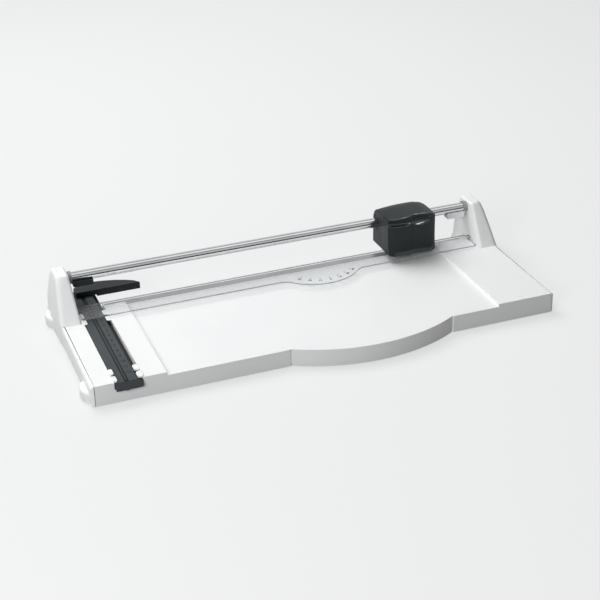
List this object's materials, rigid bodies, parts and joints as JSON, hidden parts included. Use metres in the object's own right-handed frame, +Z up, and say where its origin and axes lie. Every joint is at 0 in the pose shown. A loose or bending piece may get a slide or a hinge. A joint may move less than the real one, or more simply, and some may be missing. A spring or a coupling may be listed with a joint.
{
  "type": "rotary paper trimmer",
  "caption": "Desktop rotary trimmer: moulded table, guide rail on two uprights, sliding head with a wheel blade, clear clamp strip and a gauge slide with stop bar.",
  "frame": {"origin": "on the ground, under the middle of the part's bounding box", "axes": "+X along the guide rail to the right as seen from the front, +Y from the front to the rear, +Z up"},
  "size_m": [0.464, 0.209, 0.068],
  "materials": {
    "white_plastic": "fine satin moulding, near white",
    "charcoal_plastic": "satin moulding, charcoal",
    "clear_plastic": "clear glossy strip",
    "polished_steel": "polished round bar",
    "ground_steel": "ground hardened steel",
    "grey_plastic": "plain bearing plastic",
    "dark_rubber": "soft dark rubber",
    "screw_steel": "plated steel"
  },
  "bodies": {
    "machine": {"base_table": "white_plastic", "left_upright": "white_plastic", "right_upright": "white_plastic", "upright_screw_left_1": "screw_steel", "upright_screw_left_2": "screw_steel", "upright_screw_right_1": "screw_steel", "upright_screw_right_2": "screw_steel", "foot_front_left": "dark_rubber", "foot_front_right": "dark_rubber", "foot_rear_left": "dark_rubber", "foot_rear_right": "dark_rubber", "guide_rail": "polished_steel", "rail_ring_left": "grey_plastic", "rail_ring_right": "grey_plastic", "stop_block_left": "charcoal_plastic", "stop_block_right": "charcoal_plastic", "lower_blade": "ground_steel", "blade_screw_1": "screw_steel", "blade_screw_2": "screw_steel", "blade_screw_3": "screw_steel", "blade_screw_4": "screw_steel", "blade_screw_5": "screw_steel", "clamp_spring_left": "screw_steel", "clamp_spring_right": "screw_steel"},
    "cutting_head": {"head_front_shell": "charcoal_plastic", "head_rear_shell": "charcoal_plastic", "head_cap": "charcoal_plastic", "head_screw_1": "screw_steel", "head_screw_2": "screw_steel", "head_screw_3": "screw_steel", "head_screw_4": "screw_steel", "rail_bush_left": "grey_plastic", "rail_bush_right": "grey_plastic", "blade_carrier": "ground_steel", "blade_axle": "screw_steel", "axle_clip": "screw_steel", "blade_spring": "screw_steel", "shoe_spring_left": "screw_steel", "shoe_spring_right": "screw_steel"},
    "cutting_wheel": {"rotary_blade": "ground_steel", "blade_hub": "grey_plastic", "blade_nut": "screw_steel"},
    "shoe": {"pressure_shoe": "grey_plastic"},
    "clamp": {"clamp_strip": "clear_plastic"},
    "gauge": {"gauge_slide": "charcoal_plastic", "stop_bar": "charcoal_plastic", "stop_bar_screw_1": "screw_steel", "stop_bar_screw_2": "screw_steel"}
  },
  "joints": [
    {"name": "head_travel", "type": "slide", "parent": "machine", "child": "cutting_head", "axis": [1, 0, 0], "range_m": [-0.2945, 0.0235]},
    {"name": "blade_spin", "type": "hinge", "parent": "cutting_head", "child": "cutting_wheel", "pos_m": [0.1355, 0.06935, 0.0305], "axis": [0, 1, 0], "range_deg": [-1206, 97]},
    {"name": "shoe_press", "type": "slide", "parent": "cutting_head", "child": "shoe", "axis": [0, 0, 1], "range_m": [0, 0.0015], "stiffness_N_per_m": 300, "springref_m": -0.003, "deforming": ["shoe_spring_left", "shoe_spring_right"]},
    {"name": "clamp_press", "type": "slide", "parent": "machine", "child": "clamp", "axis": [0, 0, 1], "range_m": [-0.0012, 0], "stiffness_N_per_m": 400, "springref_m": 0.003, "deforming": ["clamp_spring_left", "clamp_spring_right"]},
    {"name": "gauge_travel", "type": "slide", "parent": "machine", "child": "gauge", "axis": [0, 1, 0], "range_m": [-0.01, 0.1]}
  ],
  "couplings": [
    {"joint": "blade_spin", "follows": "head_travel", "rad_per_m": 71.429}
  ]
}
